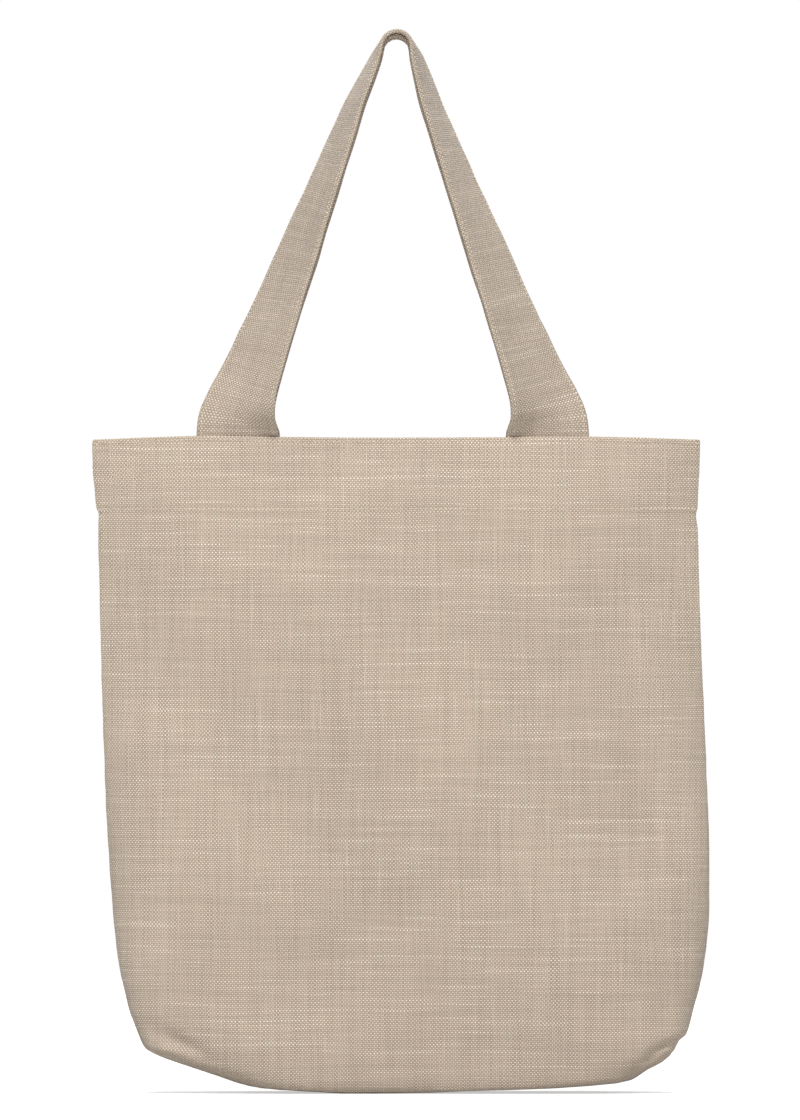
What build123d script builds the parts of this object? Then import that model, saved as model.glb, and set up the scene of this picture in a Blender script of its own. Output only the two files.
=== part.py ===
from build123d import *
import math
import os

# A canvas tote bag, standing on its base with both carrying handles held up together.
# +X runs along the mouth, -Y is the front and +Z is up. The origin is below the middle of the
# mouth, on the surface that the bag stands on.

# ---- Driving dimensions (mm) ----
canvas = 1.2  # thickness of one layer of the cloth
gap = 0.15  # clearance between neighbouring pieces of the bag

mouth_height = 408  # top edge of the hem above the rest face
hem_depth = 45  # how far the mouth's edge is turned down inside
stitch_inset = 2.5  # distance of a stitch row from the edge that it holds
thread = 0.7  # height and width of a sewn row standing on the cloth

allowance = 9  # width of a seam's inner allowance
allowance_half = 1.0  # half the thickness of its two layers
corner_seam_half = 33  # half the length of each boxed corner's cross seam

strap_width = 50
strap_thickness = 2.4
strap_offset = 97  # from the loop's centre to the middle of each sewn end
loop_centre = -2  # sideways place of the loops' tops
loop_top = 664  # top of the front handle above the rest face
knee_height = 20  # where the legs, upright at their sewn ends, bend towards each other
knee_radius = 60
front_lean = 21  # slant of the front handle's legs from the upright
rear_lean = 22  # slant of the rear handle's legs, which lie inside the front one's
nest_drop = 5.5  # how far the rear loop's top lies below the front one's
top_offset = 8  # distance of each loop's top from the bag's middle plane
hem_face = 17.3  # from the bag's middle plane to the hem's outer face at each strap
hinge_gap = 0.4  # clearance between the sewn ends and the loop above them
hem_yaw = 7.0  # turn of the hem about the vertical where a strap is sewn on
twist_rate = 2.6  # how early along a leg the strap turns edge-on
leg_steps = 10  # stretches that each leg is built from
arch_steps = 6

# Body outline from the rest face up: height, half width, half length of the flat side,
# half depth at the middle, sideways shift. The foot leans to +X and rounds up to both corners.
body_stations = [
    (0, 92, 18, 25, 10),
    (4, 122, 24, 30, 13),
    (12, 142, 30, 34, 16),
    (26, 163, 35, 37, 8.5),
    (55, 177, 30, 39, 9),
    (115, 186, 20, 40, 9),
    (240, 188, 9, 37, 4),
    (mouth_height - hem_depth, 188, 4, 30, 0),
    (mouth_height, 190.5, 3, 23, 0),
]
corner_height, corner_half_width, _, _, corner_shift = body_stations[3]
room = 400  # reaches past the bag on every side

os.makedirs("parts", exist_ok=True)


def finish(piece, name):
    """Labels a finished piece and writes it as one STEP file."""
    piece.part.label = name
    export_step(piece.part, f"parts/{name}.step")


# ---- Bag: panels, facings, seams and sewn rows ----
def body_section(station, inset, lift=0):
    """The bag's outline at one height, moved in by inset, as a face with four edges."""
    height, half_width, half_side, half_depth, shift = station
    left = shift - half_width + inset
    right = shift + half_width - inset
    side = max(half_side - inset, 0.4)
    depth = half_depth - inset
    with BuildSketch(Plane.XY.offset(height + lift)) as section:
        with BuildLine():
            ThreePointArc((left, -side), (shift, -depth), (right, -side))
            Line((right, -side), (right, side))
            ThreePointArc((right, side), (shift, depth), (left, side))
            Line((left, side), (left, -side))
        make_face()
    return section.sketch


def body_solid(inset):
    """The bag's volume moved in by inset, with the floor raised by as much."""
    with BuildPart() as solid:
        loft(sections=[body_section(station, inset, inset) for station in body_stations], ruled=True)
    return solid.part


def slab(x_range, y_range, z_range):
    """A box between the given limits, for cutting a piece out of a band."""
    with BuildPart() as block:
        with Locations((x_range[0], y_range[0], z_range[0])):
            Box(
                x_range[1] - x_range[0],
                y_range[1] - y_range[0],
                z_range[1] - z_range[0],
                align=(Align.MIN, Align.MIN, Align.MIN),
            )
    return block.part


def band(outer, inner, low, high):
    """What lies between two insets of the bag and between two heights."""
    with BuildPart() as ring:
        add(body_volume[outer])
        add(body_volume[inner], mode=Mode.SUBTRACT)
        add(slab((-room, room), (-room, room), (low, high)), mode=Mode.INTERSECT)
    return ring.part


facing_outer = canvas + gap
facing_inner = facing_outer + canvas
strap_outer = facing_inner + gap
strap_inner = strap_outer + strap_thickness
seam_outer = canvas + gap
seam_inner = seam_outer + allowance
row_outer = -gap - thread
insets = (row_outer, -gap, 0, canvas, facing_outer, facing_inner, strap_outer, strap_inner, seam_inner)
body_volume = {inset: body_solid(inset) for inset in insets}

hem_bottom = mouth_height - hem_depth
halves = {"front": Keep.TOP, "rear": Keep.BOTTOM}
shell = band(0, canvas, 0, mouth_height)
turned_hem = band(facing_outer, facing_inner, hem_bottom, mouth_height)
for name, keep in halves.items():
    with BuildPart() as panel:
        add(shell)
        split(bisect_by=Plane.XZ, keep=keep)
    finish(panel, f"{name}_panel")
    with BuildPart() as facing:
        add(turned_hem)
        split(bisect_by=Plane.XZ, keep=keep)
    finish(facing, f"{name}_hem_facing")

# The seams' allowances stand inwards: up both sides, along the floor and across both corners.
side_seams = band(seam_outer, seam_inner, corner_height + allowance, hem_bottom - gap)
for name, x_range in (("left", (-room, 0)), ("right", (0, room))):
    with BuildPart() as side_seam:
        add(side_seams)
        add(slab(x_range, (-allowance_half, allowance_half), (0, mouth_height)), mode=Mode.INTERSECT)
    finish(side_seam, f"{name}_side_seam")

floor_half = corner_half_width - 3 * allowance
floor_range = (corner_shift - floor_half, corner_shift + floor_half)
with BuildPart() as bottom_seam:
    add(band(seam_outer, seam_inner, 0, corner_height + allowance))
    add(slab(floor_range, (-allowance_half, allowance_half), (0, mouth_height)), mode=Mode.INTERSECT)
finish(bottom_seam, "bottom_seam")

corner_band = band(seam_outer, seam_inner, corner_height - allowance_half, corner_height + allowance_half)
corner_reach = corner_half_width - 2 * allowance
for name, x_range in (
    ("left", (-room, corner_shift - corner_reach)),
    ("right", (corner_shift + corner_reach, room)),
):
    with BuildPart() as corner_seam:
        add(corner_band)
        add(slab(x_range, (-corner_seam_half, corner_seam_half), (0, mouth_height)), mode=Mode.INTERSECT)
    finish(corner_seam, f"{name}_corner_seam")

# One sewn row runs round the mouth close to each edge of the hem.
row_heights = {"hem_top_stitching": mouth_height - stitch_inset, "hem_lower_stitching": hem_bottom + stitch_inset}
for name, height in row_heights.items():
    with BuildPart() as row:
        add(band(row_outer, -gap, height - thread / 2, height + thread / 2))
    finish(row, name)

# The sewn ends of each strap lie flat inside the hem, on the facing.
strap_band = band(strap_outer, strap_inner, hem_bottom, mouth_height)
for name, y_range in (("front", (-room, 0)), ("rear", (0, room))):
    with BuildPart() as handle_ends:
        for middle in (loop_centre - strap_offset, loop_centre + strap_offset):
            x_range = (middle - strap_width / 2, middle + strap_width / 2)
            with BuildPart(mode=Mode.PRIVATE) as sewn_end:
                add(strap_band)
                add(slab(x_range, y_range, (0, mouth_height)), mode=Mode.INTERSECT)
            add(sewn_end.part)
    finish(handle_ends, f"{name}_handle_ends")


# ---- Handles: twisted loops of strap, each hinged along the hem's top edge ----
strap_depth = strap_outer + strap_thickness / 2  # from the hem's outer face to the strap's middle


def loop_line(side, lean, drop):
    """A handle's middle line, the arch's share of its length, and the normal of its leaning plane."""
    foot = Vector(loop_centre, side * (hem_face - strap_depth), mouth_height + hinge_gap)
    top = Vector(loop_centre, side * top_offset, loop_top - strap_thickness / 2 - drop)
    rise = top - foot
    plane = Plane(origin=foot, x_dir=(1, 0, 0), z_dir=Vector(1, 0, 0).cross(rise))
    slant = math.radians(lean)
    peak = knee_height + strap_offset / math.tan(slant)
    arch_radius = (peak - rise.length) / (1 / math.sin(slant) - 1)
    with BuildLine(plane) as line:
        FilletPolyline(
            (-strap_offset, 0),
            (-strap_offset, knee_height),
            (0, peak),
            (strap_offset, knee_height),
            (strap_offset, 0),
            radius=[knee_radius, arch_radius, knee_radius],
        )
    wire = line.wire()
    arch_share = 2 * arch_radius * math.radians(90 - lean) / wire.length
    return wire, arch_share, plane.z_dir


def strap_planes(side, lean, drop, base_angle):
    """Planes across the strap along its loop; x is across its width, y through its thickness."""
    wire, arch_share, front = loop_line(side, lean, drop)
    leg_share = (1 - arch_share) / 2
    stops = [leg_share * step / leg_steps for step in range(leg_steps)]
    stops += [leg_share + arch_share * step / arch_steps for step in range(arch_steps)]
    stops += [1 - leg_share * (1 - step / leg_steps) for step in range(leg_steps + 1)]
    foot = (wire @ 0).Z
    height = (wire @ 0.5).Z - foot
    planes = []
    for stop in stops:
        point = wire @ stop
        forward = wire % stop
        level = min(max((point.Z - foot) / height, 0), 1)
        edge_on = 1 - (1 - level) ** twist_rate
        angle = math.radians(base_angle + (90 - base_angle) * edge_on)
        across = forward.cross(front) * math.cos(angle) + front * math.sin(angle)
        planes.append(Plane(origin=point, x_dir=across, z_dir=forward))
    return planes


def strip(planes, width, thickness, place=(0, 0)):
    """A flat strip lofted through the planes, with its middle at place in each of them."""
    with BuildPart() as solid:
        for plane in planes:
            with BuildSketch(plane):
                with Locations(place):
                    Rectangle(width, thickness)
        loft(ruled=True)
    return solid.part


row_across = strap_width / 2 - stitch_inset
row_out = strap_thickness / 2 + gap + thread / 4
for name, side, lean, drop, base_angle in (
    ("front", -1, front_lean, 0, hem_yaw),
    ("rear", 1, rear_lean, nest_drop, -hem_yaw),
):
    planes = strap_planes(side, lean, drop, base_angle)
    with BuildPart() as handle:
        add(strip(planes, strap_width, strap_thickness))
    finish(handle, f"{name}_handle")
    with BuildPart() as edge_rows:
        for across in (-row_across, row_across):
            for out in (-row_out, row_out):
                add(strip(planes, thread, thread / 2, (across, out)))
    finish(edge_rows, f"{name}_handle_stitching")
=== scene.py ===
import math

import bmesh
import bpy
import numpy as np
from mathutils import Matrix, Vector, noise


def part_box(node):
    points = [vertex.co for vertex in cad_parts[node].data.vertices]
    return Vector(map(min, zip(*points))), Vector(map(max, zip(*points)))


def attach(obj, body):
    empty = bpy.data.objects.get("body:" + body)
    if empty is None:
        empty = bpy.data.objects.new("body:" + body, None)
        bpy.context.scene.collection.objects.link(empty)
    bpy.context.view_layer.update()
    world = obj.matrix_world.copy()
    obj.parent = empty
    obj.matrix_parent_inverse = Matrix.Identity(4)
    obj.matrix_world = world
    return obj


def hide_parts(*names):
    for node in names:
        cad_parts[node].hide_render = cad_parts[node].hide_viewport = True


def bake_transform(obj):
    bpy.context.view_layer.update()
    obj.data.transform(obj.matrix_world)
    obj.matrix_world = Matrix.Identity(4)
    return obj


# A canvas tote bag standing on its base with both handles held up together.
# Lengths in this file are in metres unless a name ends in _MM.

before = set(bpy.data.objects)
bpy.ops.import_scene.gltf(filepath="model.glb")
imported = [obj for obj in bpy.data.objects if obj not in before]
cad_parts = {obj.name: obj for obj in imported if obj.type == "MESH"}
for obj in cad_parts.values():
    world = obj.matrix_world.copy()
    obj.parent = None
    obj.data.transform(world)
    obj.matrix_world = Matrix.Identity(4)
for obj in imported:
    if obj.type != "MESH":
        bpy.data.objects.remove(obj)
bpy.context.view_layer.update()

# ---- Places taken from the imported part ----
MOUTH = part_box("front_panel")[1].z
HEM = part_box("front_hem_facing")[0].z
LOOP_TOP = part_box("front_handle")[1].z + 0.0012
STRAP_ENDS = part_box("front_handle_ends")

# ---- Cloth ----
CANVAS = 0.0012
LAYER_GAP = 0.00015
STRAP_WIDTH = 0.0508
STRAP_THICKNESS = 0.0024
STITCH_INSET = 0.0025
ALLOWANCE = 0.009

# The panel's outer face seen from the front, height then x, in millimetres. The foot
# runs out to a tip on each side, where the seam across the boxed corner ends.
LEFT_TIP_MM = 27.0
RIGHT_TIP_MM = 25.0
LEFT_SIDE_MM = [
    (27, -156.3), (31, -158.6), (40, -162.3), (52.6, -167.1), (62, -169.3), (82.7, -173.4), (114, -177.0),
    (151, -179.8), (189, -181.9), (239, -183.9), (277, -185.3), (315, -186.3), (352, -187.2), (362, -187.0),
    (366, -188.4), (377, -189.6), (390, -190.6), (402, -191.0), (412, -190.4),
]
RIGHT_SIDE_MM = [
    (25, 172.3), (31, 175.4), (33, 176.6), (35.5, 180.0), (39, 181.8), (51, 185.0), (64, 188.6), (76, 191.1),
    (89, 193.0), (101, 194.4), (114, 195.3), (151, 195.4), (189, 194.3), (239, 192.5), (277, 191.1),
    (315, 190.0), (352, 189.1), (362, 188.0), (366, 189.0), (377, 189.4), (390, 190.0), (402, 190.4),
    (412, 190.6),
]
LEFT_FOOT_MM = [
    (0, -36), (0.3, -42), (1.3, -61), (2.5, -80), (4.4, -92), (10.7, -112), (17, -131), (22.6, -147),
    (27, -156.3),
]
RIGHT_FOOT_MM = [
    (0, -10), (0.3, 20), (1.3, 43), (2.5, 91), (3.4, 105), (5, 128), (7, 143.5), (9.4, 149), (13.8, 155.5),
    (19, 165.4), (22.6, 169.8), (25, 172.3),
]
# Half the bag's depth at its middle by height, and the two powers that shape its section:
# the foot is boxed, with flat ends, and the mouth closes to a point at each side seam.
DEPTH_MM = [
    (0, 32), (0.4, 33.6), (1.2, 35.2), (3, 37), (8, 38.4), (26, 39.0), (55, 39.2), (115, 39), (240, 36.5),
    (363, 30), (408, 23),
]
SECTION_ORDER = [(0, 7.5), (26, 6.5), (40, 5.6), (55, 5.0), (115, 4.0), (240, 2.8), (363, 2.0), (408, 2.0)]
SECTION_POWER = [
    (0, 0.17), (26, 0.19), (40, 0.26), (55, 0.31), (115, 0.45), (240, 0.68), (363, 0.94), (408, 0.92),
]
# The mouth's edge along x: higher where the straps stiffen it.
EDGE_MM = [
    (-192, 408.8), (-150, 410.4), (-120, 411.2), (-80, 410.6), (-20, 410.0), (60, 410.2), (100, 411.0),
    (140, 410.4), (192, 408.8),
]


# ---- Small numeric helpers ----
def curve_through(points, at):
    """A smooth curve with no overshoot through (position, value) points, read at the given positions."""
    xs, ys = (np.array(column, float) for column in zip(*points))
    steps = np.diff(xs)
    slopes = np.diff(ys) / steps
    tangents = np.zeros_like(ys)
    same_sign = slopes[:-1] * slopes[1:] > 0
    safe = np.where(same_sign, slopes[:-1] + slopes[1:], 1.0)
    tangents[1:-1] = np.where(same_sign, 2 * slopes[:-1] * slopes[1:] / safe, 0.0)
    tangents[0], tangents[-1] = slopes[0], slopes[-1]
    at = np.clip(np.asarray(at, float), xs[0], xs[-1])
    i = np.clip(np.searchsorted(xs, at) - 1, 0, len(steps) - 1)
    t = (at - xs[i]) / steps[i]
    low, high = ys[i], ys[i + 1]
    rise_low, rise_high = tangents[i] * steps[i], tangents[i + 1] * steps[i]
    return (
        (2 * t**3 - 3 * t**2 + 1) * low
        + (t**3 - 2 * t**2 + t) * rise_low
        + (3 * t**2 - 2 * t**3) * high
        + (t**3 - t**2) * rise_high
    )


def smooth(low, high, value):
    """0 below low, 1 above high, easing between them."""
    t = np.clip((np.asarray(value, float) - low) / (high - low), 0, 1)
    return t * t * (3 - 2 * t)


def unit(vectors):
    """The vectors with length 1 along the last axis."""
    length = np.linalg.norm(vectors, axis=-1, keepdims=True)
    return vectors / np.maximum(length, 1e-12)


def length_along(points):
    """Distance from a line's first point to each of its points, along the line."""
    return np.concatenate([[0], np.cumsum(np.linalg.norm(np.diff(points, axis=0), axis=1))])


def points_at(stops, run, points):
    """A line's coordinates read at the given distances along it."""
    return np.stack([np.interp(stops, run, column) for column in points.T], axis=-1)


def rolling(x, z, size, seed):
    """Gentle random swells of height -1 to 1 and about the given size, the same on every run."""
    flat_x, flat_z = np.ravel(x), np.ravel(z)
    values = [noise.noise(Vector((a / size, b / size, seed))) for a, b in zip(flat_x, flat_z)]
    return np.array(values).reshape(np.shape(x))


# ---- Bag shell ----
SEAM_COLUMNS = np.array([0, 0.25, 0.5, 0.8, 1.2, 1.7, 2.4, 3.4, 4.8, 6.6, 9.0]) / 1000
MIDDLE_COLUMNS = 118
RING_SAMPLES = 1800
SEAM_GROOVE = 0.0011
SEAM_REACH = 0.0022
CROSS_SEAM_GROOVE = 0.0006
SIDE_PUCKER = 0.00035
# How far each side's line stands outside its table.
LEFT_OUTSET_MM = 0.5
RIGHT_OUTSET_MM = 1.1


def side_lines(height):
    """x of the left and right outline at a height, both in metres."""
    mm = height * 1000
    left = curve_through(LEFT_FOOT_MM, mm) if mm < LEFT_TIP_MM else curve_through(LEFT_SIDE_MM, mm)
    right = curve_through(RIGHT_FOOT_MM, mm) if mm < RIGHT_TIP_MM else curve_through(RIGHT_SIDE_MM, mm)
    pucker = smooth(30, 60, mm) * SIDE_PUCKER * 1000
    left += pucker * noise.noise(Vector((0.3, height / 0.012, 4.0)))
    right += pucker * noise.noise(Vector((9.1, height / 0.012, 8.0)))
    return (left - LEFT_OUTSET_MM) / 1000, (right + RIGHT_OUTSET_MM) / 1000


def half_ring(height):
    """Half of the outline at a height: x, distance from the middle plane, distance from the seam."""
    left, right = side_lines(height)
    depth = curve_through(DEPTH_MM, height * 1000) / 1000
    order = curve_through(SECTION_ORDER, height * 1000)
    power = curve_through(SECTION_POWER, height * 1000)
    turn = np.linspace(-math.pi / 2, math.pi / 2, RING_SAMPLES)
    across = np.sign(turn) * (1 - (1 - np.abs(np.sin(turn))) ** 1.6)
    x = (left + right) / 2 + (right - left) / 2 * across
    out = depth * np.maximum(1 - np.abs(across) ** order, 0) ** power
    along = np.concatenate([[0], np.cumsum(np.hypot(np.diff(x), np.diff(out)))])
    total = along[-1]
    ends = SEAM_COLUMNS * min(1, total / 0.2)
    between = np.linspace(ends[-1], total - ends[-1], MIDDLE_COLUMNS)[1:-1]
    stops = np.concatenate([ends, between, total - ends[::-1]])
    x_at = np.interp(stops, along, x)
    out_at = np.interp(stops, along, out)
    from_seam = np.minimum(stops, total - stops)
    outward = np.sign(x_at - (left + right) / 2)
    x_at -= outward * SEAM_GROOVE * np.maximum(0, 1 - from_seam / SEAM_REACH) ** 2
    for sense, tip in ((-1, LEFT_TIP_MM), (1, RIGHT_TIP_MM)):
        cross_seam = math.exp(-(((height * 1000 - tip) / 1.0) ** 2)) * (1 - smooth(0.031, 0.036, from_seam))
        x_at -= outward * (outward == sense) * CROSS_SEAM_GROOVE * cross_seam
    return x_at, out_at, from_seam


# Slack in each panel's cloth, as swells: how far they stand out, scale along x, size and seed.
FRONT_SLACK = [(0.0016, 0.7, 0.11, 2.2), (0.0009, 0.8, 0.05, 7.7), (0.0003, 1.0, 0.017, 5.1)]
REAR_SLACK = [(0.0018, 0.7, 0.12, 12.4), (0.0010, 0.8, 0.05, 17.3), (0.0003, 1.0, 0.017, 15.9)]
# Dents and swells of the front panel: x, z, half width, half height, turn, and how far it stands out.
FRONT_DENTS = [
    (0.114, 0.165, 0.050, 0.032, 0.30, -0.0066),
    (-0.060, 0.150, 0.080, 0.045, -0.2, 0.0020),
    (-0.134, 0.031, 0.019, 0.0050, 0.46, -0.0042),
    (-0.118, 0.044, 0.026, 0.010, 0.5, 0.0012),
    (0.168, 0.050, 0.005, 0.020, 0.05, -0.0014),
    (0.167, 0.0290, 0.006, 0.0016, -0.25, -0.0022),
    (0.159, 0.0225, 0.009, 0.0032, -0.64, -0.0038),
    (0.090, 0.335, 0.070, 0.010, -0.25, -0.0010),
    (-0.080, 0.340, 0.060, 0.012, 0.15, -0.0010),
]


def slack(x, z, rolls):
    """Broad and small swells added together at each place."""
    return sum(height * rolling(x * stretch, z, size, seed) for height, stretch, size, seed in rolls)


def front_swell(x, z):
    """How far the front panel's slack cloth stands out at each place."""
    swell = slack(x, z, FRONT_SLACK)
    for centre_x, centre_z, wide, tall, turn, height in FRONT_DENTS:
        along = (x - centre_x) * math.cos(turn) - (z - centre_z) * math.sin(turn)
        across = (x - centre_x) * math.sin(turn) + (z - centre_z) * math.cos(turn)
        swell += height * np.exp(-((along / wide) ** 2) - (across / tall) ** 2)
    return swell


def rear_swell(x, z):
    """How far the rear panel's slack cloth stands out at each place."""
    return slack(x, z, REAR_SLACK)


def panel_rows():
    """The heights that a panel is built at, from the foot to the hem and from the hem to the mouth."""
    foot = [0, 0.15, 0.4, 0.8, 1.3, 2, 3, 4.4, 6, 8, 10, 12, 14.5, 17, 19, 21, 23, 24.2, 25, 26, 27, 28, 29.5]
    foot += [31, 32.5, 34, 35.5, 37, 39, 42, 45]
    body = list(np.arange(48, 352, 3.2)) + [353, 355.5, 357.5, 359, 360.2, 361.2, 362]
    return np.array(foot + body) / 1000


def fold_in(x, out, from_seam, inset, middle):
    """A half ring moved towards the inside by inset, less where the two panels meet at the side."""
    moved_out = np.maximum(out - inset, 0.3 * out)
    moved_x = x - np.sign(x - middle) * 0.8 * inset * np.maximum(0, 1 - from_seam / 0.010)
    return moved_x, moved_out


# Shares of the hem's height that it is built at, the bend over the mouth, and half the distance
# between the hem's two layers.
HEM_STEPS = [0.0, 0.008, 0.018, 0.032, 0.05, 0.07, 0.10, 0.14, 0.19, 0.25, 0.32, 0.40, 0.48, 0.56, 0.64]
HEM_STEPS += [0.71, 0.77, 0.82, 0.865, 0.90, 0.925, 0.945, 0.96]
BEND_ANGLES = np.radians([0, 20, 45, 70, 90, 110, 135, 160, 180])
HEM_FOLD = (2 * CANVAS + LAYER_GAP) / 2
# Grooves that the sewn rows draw into the hem: height, depth and width.
HEM_GROOVES = [(HEM + STITCH_INSET, 0.00035, 0.0011), (MOUTH - STITCH_INSET, 0.00030, 0.0012)]
HEM_STEP_OUT = 0.00045
HEM_RIPPLE = 0.0006
# How much of the panel's slack the doubled hem still shows.
HEM_SLACK = 0.45


def edge_height(x):
    """Height of the mouth's edge at x, both in metres."""
    return curve_through(EDGE_MM, x * 1000) / 1000


def hem_ring(side, swell, step):
    """Half of the hem's outline at a share of its height, with the bag's middle and the edge's height."""
    height = HEM + step * (MOUTH - HEM)
    x, out, from_seam = half_ring(height)
    held = smooth(0.0, 0.035, from_seam)
    off_seam = smooth(0, 0.004, from_seam)
    ripple = HEM_RIPPLE * np.sin(x / 0.021 + side) * step
    out = out + held * (HEM_SLACK * swell(x, np.full_like(x, height)) + ripple)
    out = out + HEM_STEP_OUT * smooth(0.0, 0.035, step) * off_seam
    for row, deep, wide in HEM_GROOVES:
        out = out - deep * np.exp(-(((height - row) / wide) ** 2)) * off_seam
    middle = sum(side_lines(height)) / 2
    top = edge_height(x)
    return x, out, from_seam, middle, HEM + step * (top - HEM_FOLD - HEM), top


def panel_grid(side, swell):
    """Points and cloth coordinates of one panel, from the bottom seam over the mouth to its raw edge."""
    points, cloth = [], []

    def add_row(x, out, z, v):
        """Adds one row, with u measured along it from the panel's middle."""
        run = np.concatenate([[0], np.cumsum(np.hypot(np.diff(x), np.diff(out)))])
        u = run - np.interp(0, x, run)
        points.append(np.stack([x, side * out, z], axis=-1))
        cloth.append(np.stack([u, v], axis=-1))

    # Half of the base, from the bottom seam out to the foot.
    wall_x, wall_out, _ = half_ring(0.042)
    ring_x, ring_out, from_seam = half_ring(0)
    lift = 0.0009 * np.maximum(0, 1 - from_seam / SEAM_REACH) ** 2
    for share in (0.0, 0.03, 0.07, 0.15, 0.3, 0.5, 0.75):
        out = ring_out * share
        groove = 0.0009 * max(0, 1 - share / 0.08) ** 2
        v = -(np.interp(ring_x, wall_x, wall_out) - out)
        add_row(ring_x, out, lift + groove, v)
    # The side, up to the hem.
    for height in panel_rows():
        x, out, from_seam = half_ring(height)
        near_seam = np.maximum(0, 1 - from_seam / SEAM_REACH) ** 2
        z = height + 0.0009 * near_seam * (1 - smooth(0.018, 0.027, height))
        held = smooth(0.0, 0.035, from_seam) * smooth(0.002, 0.03, height)
        held = held * (1 - 0.55 * smooth(0.34, 0.361, height))
        moved = out + held * swell(x, np.full_like(x, height))
        tucked = np.maximum(0, np.interp(x, wall_x, wall_out) - out) * (1 - smooth(0.03, 0.042, height))
        add_row(x, np.maximum(moved, 0), np.full_like(x, 1.0) * z, z - tucked)
    # The hem: up its outer layer, over the mouth and down its inner layer.
    for step in HEM_STEPS:
        x, out, _, _, z, _ = hem_ring(side, swell, step)
        add_row(x, out, z, z)
    x, out, from_seam, middle, _, top = hem_ring(side, swell, 1.0)
    bend_start = top - HEM_FOLD
    for angle in BEND_ANGLES:
        moved_x, moved_out = fold_in(x, out, from_seam, HEM_FOLD * (1 - math.cos(angle)), middle)
        add_row(moved_x, moved_out, bend_start + HEM_FOLD * math.sin(angle), bend_start + HEM_FOLD * angle)
    for step in HEM_STEPS[::-1]:
        x, out, from_seam, middle, z, top = hem_ring(side, swell, step)
        moved_x, moved_out = fold_in(x, out, from_seam, 2 * HEM_FOLD, middle)
        add_row(moved_x, moved_out, z, 2 * (top - HEM_FOLD) + HEM_FOLD * math.pi - z)
    return np.array(points), np.array(cloth)


def grid_normals(points, side):
    """Unit normals of a grid of points, pointing out of the bag on its outer face."""
    along_row = np.gradient(points, axis=1)
    along_column = np.gradient(points, axis=0)
    normals = np.cross(along_row, along_column) * (-side)
    normals[:, 0, 1] = 0
    normals[:, -1, 1] = 0
    length = np.linalg.norm(normals, axis=-1, keepdims=True)
    normals = np.where(length > 1e-12, normals / np.maximum(length, 1e-12), (0, 0, -1))
    turned_up = (points[..., 2] < 0.004) & (normals[..., 2] > 0)
    return np.where(turned_up[..., None], -normals, normals)


def new_object(name, vertices, faces, uvs=None, smooth_faces=True):
    """A mesh object from vertices, faces and one cloth coordinate for each vertex."""
    mesh = bpy.data.meshes.new(name)
    mesh.from_pydata([tuple(v) for v in vertices], [], faces)
    if uvs is not None:
        layer = mesh.uv_layers.new(name="cloth")
        index = np.zeros(len(mesh.loops), np.int32)
        mesh.loops.foreach_get("vertex_index", index)
        layer.data.foreach_set("uv", np.asarray(uvs, np.float32)[index].ravel())
    if smooth_faces:
        mesh.shade_smooth()
    obj = bpy.data.objects.new(name, mesh)
    bpy.context.scene.collection.objects.link(obj)
    return obj


def swept_faces(rows, columns):
    """Faces of a closed section swept through some rows, with both ends closed."""
    index = np.arange(rows * columns).reshape(rows, columns)
    following = np.roll(index, -1, axis=1)
    quads = np.stack([index[:-1], following[:-1], following[1:], index[1:]], axis=-1).reshape(-1, 4)
    faces = [tuple(quad) for quad in quads.tolist()]
    return faces + [tuple(index[0][::-1].tolist()), tuple(index[-1].tolist())]


def merge_doubles(obj, distance):
    """Joins vertices that lie on the same spot and drops the faces that have no area."""
    bm = bmesh.new()
    bm.from_mesh(obj.data)
    bmesh.ops.remove_doubles(bm, verts=bm.verts, dist=distance)
    bmesh.ops.dissolve_degenerate(bm, edges=bm.edges, dist=distance)
    bm.to_mesh(obj.data)
    bm.free()


def cloth_sheet(name, points, cloth, normals, thickness, flip):
    """A closed sheet of real thickness: an outer face, an inner face and the raw edges between them."""
    rows, columns = points.shape[:2]
    outer = points.reshape(-1, 3)
    inner = (points - normals * thickness).reshape(-1, 3)
    count = rows * columns
    index = np.arange(count).reshape(rows, columns)
    faces = []
    quads = np.stack([index[:-1, :-1], index[:-1, 1:], index[1:, 1:], index[1:, :-1]], axis=-1).reshape(-1, 4)
    faces += [tuple(q[::-1]) if flip else tuple(q) for q in quads.tolist()]
    faces += [tuple(q) if flip else tuple(q[::-1]) for q in (quads + count).tolist()]
    border = [*index[0, :], *index[1:, -1], *index[-1, -2::-1], *index[-2:0:-1, 0]]
    for a, b in zip(border, border[1:] + border[:1]):
        rim = (a, a + count, b + count, b)
        faces.append(rim[::-1] if flip else rim)
    uvs = np.concatenate([cloth.reshape(-1, 2)] * 2)
    return new_object(name, np.concatenate([outer, inner]), faces, uvs)


# ---- Finishes ----
def math_node(tree, operation, first, second=None):
    """The output of a math node fed by sockets or numbers."""
    node = tree.nodes.new("ShaderNodeMath")
    node.operation = operation
    for slot, value in enumerate((first, second)):
        if value is None:
            continue
        if isinstance(value, (int, float)):
            node.inputs[slot].default_value = value
        else:
            tree.links.new(value, node.inputs[slot])
    return node.outputs[0]


def ramp(tree, value, low, high, to_low=0.0, to_high=1.0):
    """The value mapped smoothly from one range to another."""
    node = tree.nodes.new("ShaderNodeMapRange")
    node.interpolation_type = "SMOOTHSTEP"
    node.inputs["From Min"].default_value = low
    node.inputs["From Max"].default_value = high
    node.inputs["To Min"].default_value = to_low
    node.inputs["To Max"].default_value = to_high
    tree.links.new(value, node.inputs["Value"])
    return node.outputs["Result"]


def join(tree, x, y, z=0.0):
    """A vector from three sockets or numbers."""
    node = tree.nodes.new("ShaderNodeCombineXYZ")
    for slot, value in enumerate((x, y, z)):
        if isinstance(value, (int, float)):
            node.inputs[slot].default_value = value
        else:
            tree.links.new(value, node.inputs[slot])
    return node.outputs[0]


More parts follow.
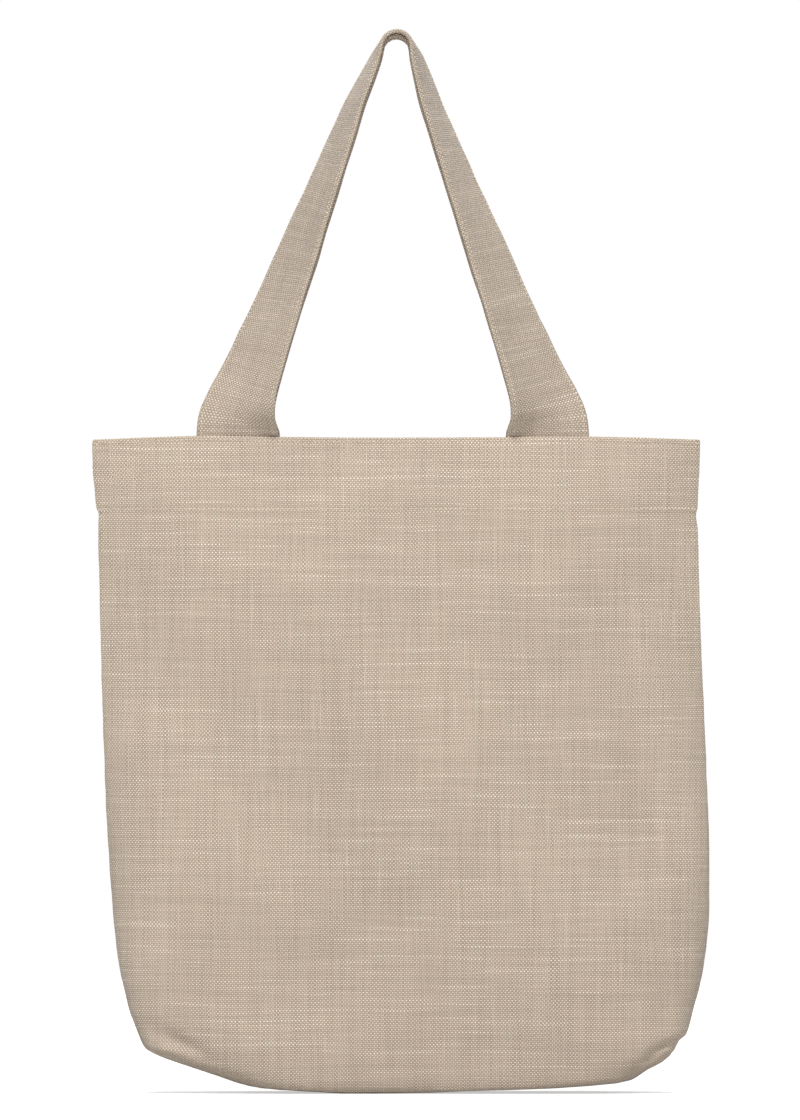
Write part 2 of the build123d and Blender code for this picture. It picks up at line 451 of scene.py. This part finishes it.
def noise_at(tree, vector, scale=1.0, detail=2.0, roughness=0.5):
    """The value of a noise texture read at a vector."""
    node = tree.nodes.new("ShaderNodeTexNoise")
    node.inputs["Scale"].default_value = scale
    node.inputs["Detail"].default_value = detail
    node.inputs["Roughness"].default_value = roughness
    tree.links.new(vector, node.inputs["Vector"])
    return node.outputs["Fac"]


def mix_colour(tree, share, first, second, blend="MIX"):
    """Two colours mixed by a socket's share."""
    node = tree.nodes.new("ShaderNodeMix")
    node.data_type = "RGBA"
    node.blend_type = blend
    sockets = (node.inputs["Factor"], node.inputs["A"], node.inputs["B"])
    for socket, value in zip(sockets, (share, first, second)):
        if isinstance(value, (int, float)):
            socket.default_value = value
        elif isinstance(value, tuple):
            socket.default_value = (*value, 1.0)
        else:
            tree.links.new(value, socket)
    return node.outputs["Result"]


WARP_PITCH = 0.00111
WEFT_PITCH = 0.00125
CLOTH_BASE = (0.66, 0.545, 0.432)
CLOTH_DARK = (0.555, 0.456, 0.360)
SLUB_LIGHT = (0.78, 0.668, 0.546)
# The warp threads lie deeper in the cloth than the weft; their colours are darkened here as painted shade for
# that depth.
SHADED_WARP_DARK = tuple(channel * 0.61 for channel in CLOTH_DARK)
SHADED_WARP_BASE = tuple(channel * 0.66 for channel in CLOTH_BASE)
THREAD_COLOUR = (0.68, 0.58, 0.45)


def woven(name, shade=1.0, offset=0.0):
    """A plain weave of uneven spun threads, with long slubs, read from the cloth coordinates."""
    material = bpy.data.materials.new(name)
    material.use_nodes = True
    tree = material.node_tree
    shader = tree.nodes["Principled BSDF"]
    shader.inputs["Roughness"].default_value = 0.92
    shader.inputs["Specular IOR Level"].default_value = 0.18
    shader.inputs["Sheen Weight"].default_value = 0.12
    shader.inputs["Sheen Roughness"].default_value = 0.6

    coordinates = tree.nodes.new("ShaderNodeUVMap")
    coordinates.uv_map = "cloth"
    split = tree.nodes.new("ShaderNodeSeparateXYZ")
    tree.links.new(coordinates.outputs["UV"], split.inputs[0])
    plain_u = math_node(tree, "ADD", split.outputs[0], 2.0 + offset)
    plain_v = math_node(tree, "ADD", split.outputs[1], 2.0 + offset)
    place = join(tree, plain_u, plain_v)

    # The threads wander a little from straight lines.
    drift_u = math_node(tree, "SUBTRACT", noise_at(tree, place, 22.0, 2.0), 0.5)
    drift_v = math_node(tree, "SUBTRACT", noise_at(tree, join(tree, plain_v, plain_u, 4.0), 16.0, 2.0), 0.5)
    u = math_node(tree, "ADD", plain_u, math_node(tree, "MULTIPLY", drift_u, 0.0030))
    v = math_node(tree, "ADD", plain_v, math_node(tree, "MULTIPLY", drift_v, 0.0036))
    warp = math_node(tree, "DIVIDE", u, WARP_PITCH)
    weft = math_node(tree, "DIVIDE", v, WEFT_PITCH)
    warp_number = math_node(tree, "FLOOR", warp)
    weft_number = math_node(tree, "FLOOR", weft)
    warp_round = math_node(tree, "SINE", math_node(tree, "MULTIPLY", math_node(tree, "FRACT", warp), math.pi))
    weft_round = math_node(tree, "SINE", math_node(tree, "MULTIPLY", math_node(tree, "FRACT", weft), math.pi))
    turn = math_node(tree, "MODULO", math_node(tree, "ADD", warp_number, weft_number), 2.0)
    weft_on_top = math_node(tree, "GREATER_THAN", turn, 0.5)

    # Each thread has its own tone along its length, and now and then a thick slub.
    # The step between threads is no whole number, so that no two threads change tone together.
    weft_step = math_node(tree, "MULTIPLY", weft_number, 5.377)
    warp_step = math_node(tree, "MULTIPLY", warp_number, 4.613)
    weft_run = noise_at(tree, join(tree, math_node(tree, "MULTIPLY", u, 15.0), weft_step, 3.41), 1.0, 2.0)
    warp_run = noise_at(tree, join(tree, math_node(tree, "MULTIPLY", v, 19.0), warp_step, 9.27), 1.0, 1.5)
    weft_slub = ramp(tree, weft_run, 0.58, 0.72)
    warp_slub = ramp(tree, warp_run, 0.66, 0.78)
    weft_tone = ramp(tree, weft_run, 0.25, 0.62)
    warp_tone = ramp(tree, warp_run, 0.25, 0.66)
    fibre = noise_at(tree, place, 1900.0, 2.0, 0.7)

    weft_colour = mix_colour(tree, weft_tone, CLOTH_DARK, CLOTH_BASE)
    weft_colour = mix_colour(tree, weft_slub, weft_colour, SLUB_LIGHT)
    # The warp colours come from the darkened copies above, which paint the shade on the deeper warp.
    shaded_warp_colour = mix_colour(tree, warp_tone, SHADED_WARP_DARK, SHADED_WARP_BASE)
    shaded_warp_colour = mix_colour(tree, math_node(tree, "MULTIPLY", warp_slub, 0.3), shaded_warp_colour, SLUB_LIGHT)
    colour = mix_colour(tree, weft_on_top, shaded_warp_colour, weft_colour)

    # The thread on top hides the other one. The gaps between the threads are darkened as painted shade, and
    # the crowns are lightened slightly as a painted highlight.
    warp_crown = math_node(tree, "ADD", math_node(tree, "MULTIPLY", warp_round, 0.45), 0.55)
    weft_crown = math_node(tree, "ADD", math_node(tree, "MULTIPLY", weft_round, 0.45), 0.55)
    weft_height = math_node(tree, "MULTIPLY", weft_round, warp_crown)
    warp_height = math_node(tree, "MULTIPLY", warp_round, weft_crown)
    warp_on_top = math_node(tree, "SUBTRACT", 1.0, weft_on_top)
    weft_part = math_node(tree, "MULTIPLY", weft_on_top, weft_height)
    warp_part = math_node(tree, "MULTIPLY", warp_on_top, warp_height)
    chosen = math_node(tree, "ADD", weft_part, warp_part)
    # Painted shade in the gaps and a painted highlight on the crowns, from the threads' height.
    gap_shade = ramp(tree, chosen, 0.05, 0.75, 0.46, 1.08)
    gap_shade_colour = join(tree, gap_shade, gap_shade, gap_shade)
    colour = mix_colour(tree, 1.0, colour, gap_shade_colour, "MULTIPLY")

    # Broad uneven tone of unbleached cloth, and fine fibre speckle. The shade factor darkens a whole copy of
    # the cloth, as painted shade.
    cloud_and_shade = ramp(tree, noise_at(tree, place, 9.0, 3.0, 0.6), 0.3, 0.7, 0.955 * shade, 1.045 * shade)
    speckle = ramp(tree, fibre, 0.25, 0.75, 0.93, 1.07)
    tint = math_node(tree, "MULTIPLY", cloud_and_shade, speckle)
    colour = mix_colour(tree, 1.0, colour, join(tree, tint, tint, tint), "MULTIPLY")
    tree.links.new(colour, shader.inputs["Base Color"])

    weft_thick = math_node(tree, "MULTIPLY", weft_slub, 0.35)
    warp_thick = math_node(tree, "MULTIPLY", warp_slub, 0.2)
    thick = math_node(tree, "ADD", weft_thick, warp_thick)
    relief = math_node(tree, "ADD", chosen, thick)
    relief = math_node(tree, "ADD", relief, math_node(tree, "MULTIPLY", fibre, 0.35))
    bump = tree.nodes.new("ShaderNodeBump")
    bump.inputs["Strength"].default_value = 0.60
    bump.inputs["Distance"].default_value = 0.00030
    tree.links.new(relief, bump.inputs["Height"])
    tree.links.new(bump.outputs["Normal"], shader.inputs["Normal"])
    return material


def spun_thread(name, colour):
    """Sewing thread: two plies twisted together, with a soft sheen."""
    material = bpy.data.materials.new(name)
    material.use_nodes = True
    tree = material.node_tree
    shader = tree.nodes["Principled BSDF"]
    shader.inputs["Roughness"].default_value = 0.7
    shader.inputs["Specular IOR Level"].default_value = 0.3
    shader.inputs["Sheen Weight"].default_value = 0.2
    place = tree.nodes.new("ShaderNodeTexCoord").outputs["Object"]
    wave = tree.nodes.new("ShaderNodeTexWave")
    wave.inputs["Scale"].default_value = 900.0
    wave.inputs["Distortion"].default_value = 1.5
    wave.bands_direction = "DIAGONAL"
    tree.links.new(place, wave.inputs["Vector"])
    uneven = noise_at(tree, place, 60.0, 2.0)
    # The twist's wave darkens the grooves between the plies as painted shade and lightens the plies' crowns
    # as a painted highlight; the noise gives a random uneven tone.
    ply_shade = ramp(tree, wave.outputs["Fac"], 0.0, 1.0, 0.82, 1.08)
    wear_tone = ramp(tree, uneven, 0.3, 0.7, 0.9, 1.1)
    tone = math_node(tree, "MULTIPLY", ply_shade, wear_tone)
    toned = mix_colour(tree, 1.0, colour, join(tree, tone, tone, tone), "MULTIPLY")
    tree.links.new(toned, shader.inputs["Base Color"])
    bump = tree.nodes.new("ShaderNodeBump")
    bump.inputs["Strength"].default_value = 0.5
    bump.inputs["Distance"].default_value = 0.0001
    tree.links.new(wave.outputs["Fac"], bump.inputs["Height"])
    tree.links.new(bump.outputs["Normal"], shader.inputs["Normal"])
    return material


front_cloth = woven("front_canvas")
rear_cloth = woven("rear_canvas", offset=1.37)
# The straps get a darker copy of the cloth, as painted shade.
shaded_strap_cloth = woven("strap_canvas_shaded", shade=0.94, offset=0.61)
seam_cloth = woven("seam_canvas", offset=2.13)
sewing_thread = spun_thread("sewing_thread", THREAD_COLOUR)


# ---- Panels ----
panels = {}
for name, side, swell, cloth_material in (
    ("front", -1, front_swell, front_cloth),
    ("rear", 1, rear_swell, rear_cloth),
):
    points, cloth = panel_grid(side, swell)
    normals = grid_normals(points, side)
    panel = cloth_sheet(f"{name}_panel_cloth", points, cloth, normals, CANVAS, flip=side > 0)
    merge_doubles(panel, 0.00001)
    panel.data.materials.append(cloth_material)
    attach(panel, "bag")
    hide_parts(f"{name}_panel", f"{name}_hem_facing")
    panels[name] = (points, normals)


def wall_at(swell, x, height):
    """Distance of the hem's outer face from the middle plane at x and height."""
    ring_x, ring_out, from_seam = half_ring(height)
    held = smooth(0.0, 0.035, from_seam)
    ring_out = ring_out + held * HEM_SLACK * swell(ring_x, np.full_like(ring_x, height))
    return float(np.interp(x, ring_x, ring_out))


# ---- Handles ----
STRAP_OFFSET = 0.097
LOOP_CENTRE = (STRAP_ENDS[0].x + STRAP_ENDS[1].x) / 2
STRAP_FACE = 2 * CANVAS + 2 * LAYER_GAP + STRAP_THICKNESS / 2
KNEE_HEIGHT = 0.020
KNEE_RADIUS = 0.060
TOP_OFFSET = 0.004  # how far a strap's top stands from the bag's middle plane
STRAP_STEP = 0.0022
# How far each leg has turned edge-on, in degrees, by height above the mouth in millimetres.
TWIST_MM = [
    (0, 2), (6, 6), (13, 15), (21, 27), (36, 40), (51, 46), (66, 50), (81, 54), (96, 57), (111, 59),
    (126, 62), (141, 65), (156, 68), (171, 70.5), (186, 73), (200, 75.5), (216, 79), (231, 82),
    (242, 85), (251, 89), (257, 90),
]


def rounded_path(corners, radii, step):
    """Points along straight runs whose inner corners are rounded with the given radii."""
    corners = [np.array(c, float) for c in corners]
    path = [corners[0]]
    for i, radius in enumerate(radii, start=1):
        before = unit(corners[i - 1] - corners[i])
        after = unit(corners[i + 1] - corners[i])
        half = math.acos(float(np.clip(before @ after, -1, 1))) / 2
        reach = radius / math.tan(half)
        centre = corners[i] + unit(before + after) * radius / math.sin(half)
        first = corners[i] + before * reach - centre
        sweep = math.pi - 2 * half
        sense = np.sign(before[0] * after[1] - before[1] * after[0])
        for t in np.linspace(0, 1, max(4, int(radius * sweep / step) + 2)):
            angle = -sense * sweep * t
            c, s = math.cos(angle), math.sin(angle)
            path.append(centre + np.array([first[0] * c - first[1] * s, first[0] * s + first[1] * c]))
    path.append(corners[-1])
    path = np.array(path)
    run = length_along(path)
    stops = np.linspace(0, run[-1], int(run[-1] / step) + 1)
    return points_at(stops, run, path)


def strap_frames(side, swell, lean, drop):
    """Middle points of one strap from end to end, its directions there, and its share of the height."""
    left, right = LOOP_CENTRE - STRAP_OFFSET, LOOP_CENTRE + STRAP_OFFSET
    foot_out = wall_at(swell, left, MOUTH) - STRAP_FACE
    foot = np.array([LOOP_CENTRE, side * foot_out, MOUTH])
    top = np.array([LOOP_CENTRE, side * TOP_OFFSET, LOOP_TOP - STRAP_THICKNESS / 2 - drop])
    rise = top - foot
    tall = np.linalg.norm(rise)
    up = rise / tall
    slant = math.radians(lean)
    peak = KNEE_HEIGHT + STRAP_OFFSET / math.tan(slant)
    arch = (peak - tall) / (1 / math.sin(slant) - 1)
    corners = [
        (-STRAP_OFFSET, 0),
        (-STRAP_OFFSET, KNEE_HEIGHT),
        (0, peak),
        (STRAP_OFFSET, KNEE_HEIGHT),
        (STRAP_OFFSET, 0),
    ]
    loop = rounded_path(corners, (KNEE_RADIUS, arch, KNEE_RADIUS), STRAP_STEP)
    middle = foot + loop[:, :1] * np.array([1.0, 0, 0]) + loop[:, 1:] * up
    level = np.clip(loop[:, 1] / tall, 0, 1)
    middle[:, 0] += 0.0024 * smooth(0.80, 0.97, level)
    belly = smooth(0.0, 0.09, level) * (1 - smooth(0.09, 0.5, level))
    middle[:, 1] -= 0.0060 * belly
    sewn_heights = np.arange(HEM + 0.002, MOUTH - 0.0005, 0.003)
    ends = {}
    for key, x in (("left", left), ("right", right)):
        out = np.array([wall_at(swell, x, z) for z in sewn_heights]) - STRAP_FACE
        ends[key] = np.stack([np.full_like(out, x), side * out, sewn_heights], axis=-1)
    middle = np.concatenate([ends["left"], middle, ends["right"][::-1]])
    level = np.concatenate([np.zeros(len(sewn_heights)), level, np.zeros(len(sewn_heights))])
    for _ in range(3):
        middle[1:-1] = (middle[:-2] + 2 * middle[1:-1] + middle[2:]) / 4
    forward = unit(np.gradient(middle, axis=0))
    levelled = smooth(0.5, 0.95, level)[:, None]
    front = unit(unit(np.cross((1.0, 0, 0), up)) * (1 - levelled) + np.array([0, -1.0, 0]) * levelled)
    yaw = math.radians(5.0) * -side
    angle = np.radians(curve_through(TWIST_MM, level * 257))
    angle = yaw * (1 - smooth(0, 0.05, level)) + angle
    right_leg = middle[:, 0] > LOOP_CENTRE
    angle -= np.radians(1.5) * right_leg * smooth(0.78, 0.86, level) * (1 - smooth(0.93, 0.985, level))
    base = unit(np.cross(forward, front))
    facing = unit(front - np.sum(front * forward, axis=1, keepdims=True) * forward)
    across = base * np.cos(angle)[:, None] + facing * np.sin(angle)[:, None]
    through = unit(np.cross(across, forward))
    return middle, across, through, forward, level


def strap_outline():
    """A strap's section, as places across and through it, and the cloth coordinate of each place."""
    half = STRAP_WIDTH / 2
    edge = STRAP_THICKNESS / 2
    row = half - STITCH_INSET
    stops = np.array([-half + edge, -half + 0.0018, -row, -half + 0.0034, -half + 0.006])
    stops = np.concatenate([stops, [-0.016, -0.013, -0.010, -0.0075, -0.005, -0.0025, 0.0]])
    stops = np.concatenate([stops, -stops[-2::-1]])
    dimple = 0.00028 * np.exp(-(((np.abs(stops) - row) / 0.0006) ** 2))
    puff = edge * (0.96 + 0.10 * smooth(half - 0.010, half - 0.004, np.abs(stops))) - dimple
    upper = np.stack([stops, puff], axis=-1)
    turn = np.radians([60, 30, 0, -30, -60])
    right = np.stack([half - edge + edge * np.cos(turn), edge * np.sin(turn)], axis=-1)
    lower = np.stack([stops[::-1], -puff[::-1]], axis=-1)
    left = -right
    section = np.concatenate([upper, right, lower, left])
    return section, length_along(section)


def strap_object(name, frames, folds):
    """A strap swept through its frames, closed at both raw ends, with soft folds pressed into it."""
    middle, across, through, _, level = frames
    section, run = strap_outline()
    rows, columns = len(middle), len(section)
    lengths = length_along(middle)
    wobble = np.array([noise.noise(Vector((s / 0.02, 0.0, len(name)))) for s in lengths]) * 0.0004
    width = 1 + np.array([noise.noise(Vector((s / 0.035, 5.0, len(name)))) for s in lengths]) * 0.012
    width += 0.03 * (1 - smooth(0.0, 0.08, level))
    relief = np.zeros((rows, columns)) + wobble[:, None]
    for along, across_at, long, wide, height in folds:
        fade = np.exp(-(((lengths - along) / long) ** 2))
        relief += height * fade[:, None] * np.exp(-(((section[:, 0] - across_at) / wide) ** 2))
    points = (
        middle[:, None, :]
        + across[:, None, :] * (section[None, :, :1] * width[:, None, None])
        + through[:, None, :] * (section[None, :, 1:] + relief[:, :, None])
    )
    u = np.broadcast_to(run, (rows, columns))
    v = np.broadcast_to(lengths[:, None], (rows, columns))
    uvs = np.stack([u, v], axis=-1).reshape(-1, 2)
    return new_object(name, points.reshape(-1, 3), swept_faces(rows, columns), uvs)


# ---- Sewn rows ----
STITCH_SPACING = 0.0031
STITCH_LENGTH = 0.0023
STITCH_THICKNESS = 0.00055


def stitch_row(places, directions, outward, seed):
    """Vertices and faces of single stitches lying on a line, each a short rounded run of thread."""
    run = length_along(places)
    centres = np.arange(STITCH_SPACING / 2, run[-1], STITCH_SPACING)
    rings, around = 7, 6
    vertices, faces = [], []
    for number, stop in enumerate(centres):
        place = points_at(stop, run, places)
        ahead = unit(points_at(stop, run, directions))
        out = points_at(stop, run, outward)
        out = unit(out - ahead * (out @ ahead))
        sideways = np.cross(ahead, out)
        jitter = noise.noise(Vector((number * 0.731, seed, 0.5)))
        ahead = unit(ahead + 0.06 * jitter * sideways)
        base = len(vertices)
        for ring in range(rings):
            t = ring / (rings - 1) * 2 - 1
            radius = STITCH_THICKNESS / 2 * math.sqrt(max(1 - t**4, 0.04))
            sink = STITCH_THICKNESS * (0.10 - 0.75 * t**4)
            middle = place + ahead * (t * STITCH_LENGTH / 2) + out * sink
            for k in range(around):
                angle = 2 * math.pi * k / around
                vertices.append(middle + (sideways * math.cos(angle) + out * math.sin(angle)) * radius)
        for ring in range(rings - 1):
            for k in range(around):
                a = base + ring * around + k
                b = base + ring * around + (k + 1) % around
                faces.append((a, b, b + around, a + around))
        faces.append(tuple(base + k for k in reversed(range(around))))
        last = base + (rings - 1) * around
        faces.append(tuple(last + k for k in range(around)))
    return vertices, faces


def stitches_object(name, rows):
    """One object holding several sewn rows. Each row is (places, directions, outward)."""
    vertices, faces = [], []
    for number, (places, directions, outward) in enumerate(rows):
        new_vertices, new_faces = stitch_row(places, directions, outward, seed=number * 3.3)
        base = len(vertices)
        vertices += new_vertices
        faces += [tuple(i + base for i in face) for face in new_faces]
    obj = new_object(name, vertices, faces)
    obj.data.materials.append(sewing_thread)
    return obj


def hem_row_line(points, normals, along_edge, inner):
    """The line of a sewn row round one panel's hem, close to the mouth's edge or to the hem's lower edge."""
    top_row = int(np.argmax(points[:, points.shape[1] // 2, 2]))
    rows = slice(top_row, None) if inner else slice(0, top_row + 1)
    part, part_normals = points[rows], normals[rows]
    if inner:
        part, part_normals = part[::-1], part_normals[::-1]
    line, outward = [], []
    for column in range(4, points.shape[1] - 4):
        heights = part[:, column, 2]
        row_height = heights[-1] - STITCH_INSET if along_edge else HEM + STITCH_INSET
        line.append(points_at(row_height, heights, part[:, column]))
        outward.append(points_at(row_height, heights, part_normals[:, column]))
    line, outward = np.array(line), unit(np.array(outward))
    return line, unit(np.gradient(line, axis=0)), outward


for node, along_edge in (("hem_top_stitching", True), ("hem_lower_stitching", False)):
    rows = [
        hem_row_line(points, normals, along_edge, inner)
        for points, normals in panels.values()
        for inner in (False, True)
    ]
    row = stitches_object(f"{node}_thread", rows)
    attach(row, "bag")
    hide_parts(node)


# ---- Straps ----
# Soft folds in the straps: place along, place across, length, width and height.
FRONT_FOLDS = [
    (0.205, 0.004, 0.034, 0.0060, -0.0019),
    (0.150, -0.008, 0.020, 0.0055, -0.0009),
    (0.108, 0.003, 0.016, 0.0080, 0.0008),
    (0.470, -0.006, 0.022, 0.0060, -0.0010),
    (0.525, 0.005, 0.018, 0.0080, -0.0008),
]
REAR_FOLDS = [(0.180, -0.005, 0.030, 0.0070, -0.0010), (0.450, 0.006, 0.024, 0.0060, 0.0009)]

# The two handles: name, side, panel's swell, slant of the legs in degrees, drop of the top, folds.
HANDLES = [
    ("front", -1, front_swell, 20.8, 0.0, FRONT_FOLDS),
    ("rear", 1, rear_swell, 21.2, 0.0026, REAR_FOLDS),
]

for name, side, swell, lean, drop, folds in HANDLES:
    frames = strap_frames(side, swell, lean, drop)
    strap = strap_object(f"{name}_strap", frames, folds)
    strap.data.materials.append(shaded_strap_cloth)
    middle, across, through, forward, _ = frames
    rows = []
    for edge in (-1, 1):
        for face in (-1, 1):
            places = middle + across * (edge * (STRAP_WIDTH / 2 - STITCH_INSET))
            places = places + through * (face * (STRAP_THICKNESS / 2 - 0.0001))
            rows.append((places, forward, through * face))
    edge_rows = stitches_object(f"{name}_strap_stitches", rows)
    for piece in (strap, edge_rows):
        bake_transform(piece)
    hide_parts(f"{name}_handle", f"{name}_handle_ends")
    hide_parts(f"{name}_handle_stitching")


# ---- Seam allowances inside the bag, with their overlocked edges ----
OVERLOCK_PITCH = 0.0026
OVERLOCK_RADIUS = 0.00024
ALLOWANCE_HALF = CANVAS * 0.9  # half the thickness of its two pressed layers
ALLOWANCE_SWAY = 0.0022


def foot_height(x):
    """Height of the foot's outline at x, both in metres."""
    left = [(x_mm, z_mm) for z_mm, x_mm in LEFT_FOOT_MM[::-1]]
    right = [(x_mm, z_mm) for z_mm, x_mm in RIGHT_FOOT_MM]
    return curve_through(left + right, np.asarray(x) * 1000) / 1000


def tube(path, radius, sides=5):
    """Vertices and faces of a thin round thread along a path."""
    forward = unit(np.gradient(path, axis=0))
    helper = np.where(np.abs(forward[:, :1]) < 0.8, (1.0, 0, 0), (0, 1.0, 0))
    first = unit(np.cross(forward, helper))
    second = np.cross(forward, first)
    turn = np.linspace(0, 2 * math.pi, sides, endpoint=False)
    ring = first[:, None] * np.cos(turn)[None, :, None] + second[:, None] * np.sin(turn)[None, :, None]
    vertices = (path[:, None] + ring * radius).reshape(-1, 3)
    return vertices, swept_faces(len(path), sides)


def seam_allowance(node, line, inward, seed):
    """Two layers of cloth standing inwards along a seam, and the thread that binds their edges."""
    line = np.asarray(line, float)
    forward = unit(np.gradient(line, axis=0))
    inward = unit(inward - np.sum(inward * forward, axis=1, keepdims=True) * forward)
    sideways = np.cross(forward, inward)
    run = length_along(line)
    sway = np.array([noise.noise(Vector((s / 0.03, seed, 1.0))) for s in run]) * ALLOWANCE_SWAY
    half = ALLOWANCE_HALF
    section = [(0, -half), (ALLOWANCE * 0.4, -half), (ALLOWANCE * 0.8, -half), (ALLOWANCE, -half * 0.5)]
    section += [(a, -b) for a, b in section[::-1]]
    section = np.array(section)
    bend = (section[:, 0] / ALLOWANCE) ** 2
    points = (
        line[:, None]
        + inward[:, None] * section[None, :, :1]
        + sideways[:, None] * (section[None, :, 1:] + bend[None, :, None] * sway[:, None, None])
    )
    faces = swept_faces(*points.shape[:2])
    across = section[None, :, 0] + 3 * section[None, :, 1]
    uvs = np.stack(np.broadcast_arrays(across, run[:, None]), axis=-1).reshape(-1, 2)
    cloth = new_object(f"{node}_allowance", points.reshape(-1, 3), faces, uvs, smooth_faces=False)
    cloth.data.materials.append(seam_cloth)
    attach(cloth, "bag")
    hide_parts(node)
    turns = np.arange(0, run[-1] / OVERLOCK_PITCH, 1 / 10)
    place = turns * OVERLOCK_PITCH
    angle = 2 * math.pi * turns
    into = unit(points_at(place, run, inward))
    aside = unit(points_at(place, run, sideways))
    reach = ALLOWANCE - 0.0022 + 0.0025 * np.cos(angle)
    lift = (half + 0.0003) * np.sin(angle) + np.interp(place, run, sway) * (reach / ALLOWANCE) ** 2
    path = points_at(place, run, line) + into * reach[:, None] + aside * lift[:, None]
    vertices, faces = tube(path, OVERLOCK_RADIUS)
    thread = new_object(f"{node}_overlock", vertices, faces)
    thread.data.materials.append(sewing_thread)
    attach(thread, "bag")


side_heights = np.arange(0.034, HEM - 0.001, 0.004)
for node, which, sense in (("left_side_seam", 0, 1), ("right_side_seam", 1, -1)):
    line = [(side_lines(z)[which] + sense * 0.0022, 0, z) for z in side_heights]
    seam_allowance(node, line, np.tile((sense, 0.0, 0.0), (len(line), 1)), 2.0 + which)
floor_x = np.arange(LEFT_FOOT_MM[-1][1] / 1000 + 0.012, RIGHT_FOOT_MM[-1][1] / 1000 - 0.012, 0.004)
line = np.stack([floor_x, np.zeros_like(floor_x), foot_height(floor_x) + 0.0024], axis=-1)
seam_allowance("bottom_seam", line, np.tile((0, 0, 1.0), (len(line), 1)), 6.0)
for node, sense, foot in (("left_corner_seam", 1, LEFT_FOOT_MM), ("right_corner_seam", -1, RIGHT_FOOT_MM)):
    tip_height, _ = foot[-1]
    across = np.arange(-0.027, 0.0271, 0.003)
    ring_x, ring_out, from_seam = half_ring(tip_height / 1000)
    end = (sense * ring_x < 0) & (from_seam < 0.05)
    order = np.argsort(ring_out[end])
    inside = np.interp(np.abs(across), ring_out[end][order], ring_x[end][order]) + sense * 0.0030
    line = np.stack(np.broadcast_arrays(inside, across, tip_height / 1000 + 0.001), axis=-1)
    seam_allowance(node, line, np.tile((sense * 0.8, 0, 0.6), (len(line), 1)), 9.0 + sense)


# ---- Stage, light and camera ----
FLOOR_REACH = 3.2
FLOOR_DROP = 0.0002
FLOOR_COLOUR = (0.60, 0.60, 0.597)
# Seen directly, the floor and the sky are brighter than the light that they give.
FLOOR_GLOW = 0.90
SKY_SEEN = 1.0
SKY_LIGHT = 0.35
# Name, place, the point that it faces, size and power.
LIGHTS = [
    ("key", (-0.4, -4.6, 7.0), (0, 0, 0.3), 2.0, 560),
    ("rear", (0.6, 4.6, 7.0), (0, 0, 0.3), 2.0, 430),
    ("fill", (1.2, -3.8, 1.2), (0, 0, 0.3), 2.0, 8),
    ("rear_fill", (-1.2, 3.8, 1.2), (0, 0, 0.3), 2.0, 8),
    ("low", (-0.3, -2.6, 0.45), (0, 0, 0.05), 0.8, 12),
]
VIEW_DISTANCE = 12.0
VIEW_HEIGHT = 0.3334
VIEW_SIDE = 0.0025
FRAME_HEIGHT = 0.7018
SENSOR_MM = 36


def strength_by_ray(tree, lighting, seen):
    """A strength with one value for the light that is given and another where it is seen directly."""
    seen_directly = tree.nodes.new("ShaderNodeLightPath").outputs["Is Camera Ray"]
    return ramp(tree, seen_directly, 0.0, 1.0, lighting, seen)


def floor_finish():
    """The floor's matt white."""
    material = bpy.data.materials.new("studio_white")
    material.use_nodes = True
    tree = material.node_tree
    shader = tree.nodes["Principled BSDF"]
    shader.inputs["Base Color"].default_value = (*FLOOR_COLOUR, 1)
    shader.inputs["Roughness"].default_value = 0.9
    shader.inputs["Specular IOR Level"].default_value = 0.1
    shader.inputs["Emission Color"].default_value = (*FLOOR_COLOUR, 1)
    tree.links.new(strength_by_ray(tree, 0.0, FLOOR_GLOW), shader.inputs["Emission Strength"])
    return material


def studio_floor():
    """A level pale floor that reaches well past every view."""
    corners = [(-FLOOR_REACH, -FLOOR_REACH, 0), (FLOOR_REACH, -FLOOR_REACH, 0)]
    corners += [(FLOOR_REACH, FLOOR_REACH, 0), (-FLOOR_REACH, FLOOR_REACH, 0)]
    floor = new_object("studio_floor", corners, [(0, 1, 2, 3)])
    floor.data.materials.append(floor_finish())
    floor.location.z = -FLOOR_DROP


def area_light(name, place, aim, size, power):
    """A soft square light at a place, turned to a point."""
    data = bpy.data.lights.new(name, "AREA")
    data.size = size
    data.energy = power
    light = bpy.data.objects.new(name, data)
    bpy.context.scene.collection.objects.link(light)
    light.location = place
    light.rotation_euler = (Vector(aim) - Vector(place)).to_track_quat("-Z", "Y").to_euler()


def studio_sky():
    """An even white sky."""
    world = bpy.data.worlds.new("studio")
    world.use_nodes = True
    tree = world.node_tree
    background = tree.nodes["Background"]
    background.inputs["Color"].default_value = (1.0, 1.0, 1.0, 1)
    tree.links.new(strength_by_ray(tree, SKY_LIGHT, SKY_SEEN), background.inputs["Strength"])
    bpy.context.scene.world = world


def front_camera():
    """A camera far off in front of the bag, looking level along +Y."""
    data = bpy.data.cameras.new("camera")
    data.sensor_width = SENSOR_MM
    data.lens = SENSOR_MM * VIEW_DISTANCE / FRAME_HEIGHT
    camera = bpy.data.objects.new("camera", data)
    camera.location = (VIEW_SIDE, -VIEW_DISTANCE, VIEW_HEIGHT)
    camera.rotation_euler = (math.pi / 2, 0, 0)
    bpy.context.scene.collection.objects.link(camera)
    bpy.context.scene.camera = camera


studio_floor()
for light in LIGHTS:
    area_light(*light)
studio_sky()
front_camera()
bpy.context.scene.view_settings.view_transform = "Standard"
